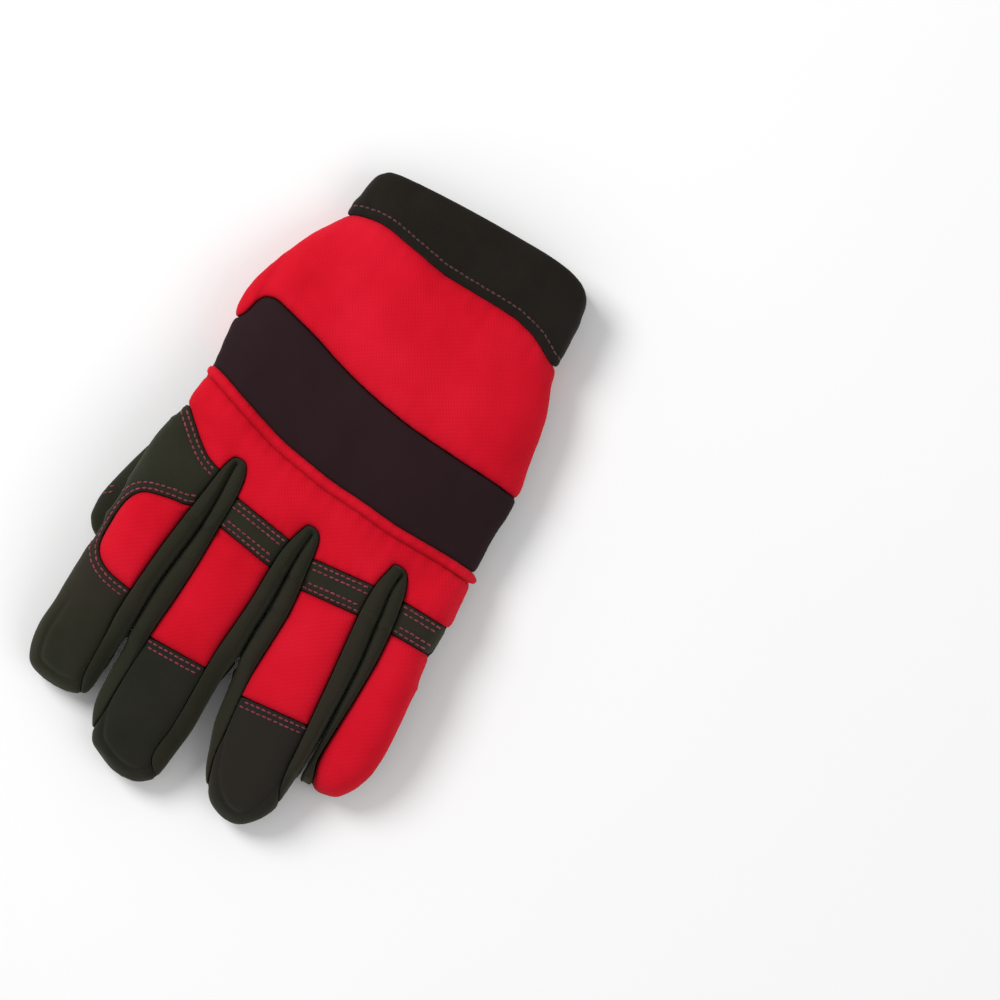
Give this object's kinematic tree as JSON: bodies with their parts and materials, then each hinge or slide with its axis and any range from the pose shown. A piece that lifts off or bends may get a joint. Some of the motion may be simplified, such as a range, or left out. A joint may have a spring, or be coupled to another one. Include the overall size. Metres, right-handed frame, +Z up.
{
  "type": "protective work glove, left hand",
  "caption": "Left-hand work glove lying palm down: red fabric and dark leather panels, stretch band on the back, cuff, rolled finger seams and stitched palm pads.",
  "frame": {"origin": "under the middle of the glove's box, on the surface it lies on", "axes": "+Z up from the surface to the back of the hand, +Y to the cuff and -Y to the fingertips, -X on the thumb side, +X on the little-finger side"},
  "size_m": [0.1324, 0.232, 0.0384],
  "materials": {
    "red_fabric": "matt stretch weave",
    "neoprene": "smooth matt stretch band",
    "cuff_fabric": "matt brushed band",
    "dark_leather": "matt suede grain",
    "pad_leather": "matt suede grain, stitched"
  },
  "bodies": {
    "root": {"cuff_band": "cuff_fabric", "wrist_panel": "red_fabric", "wrist_palm_panel": "red_fabric", "neoprene_band": "neoprene", "back_seam_roll": "red_fabric", "back_panel": "red_fabric", "index_back": "dark_leather", "index_patch": "red_fabric", "middle_patch": "red_fabric", "middle_cap": "dark_leather", "ring_patch": "red_fabric", "ring_cap": "dark_leather", "little_panel": "red_fabric", "knuckle_strip_middle": "dark_leather", "knuckle_strip_ring": "dark_leather", "knuckle_strip_little": "dark_leather", "fourchette_index_middle": "dark_leather", "fourchette_middle_ring": "dark_leather", "fourchette_ring_little": "dark_leather", "palm_leather": "dark_leather", "thumb_leather": "dark_leather", "thumb_panel": "red_fabric", "heel_pad": "pad_leather", "centre_pad": "pad_leather", "knuckle_pad": "pad_leather"}
  },
  "joints": []
}
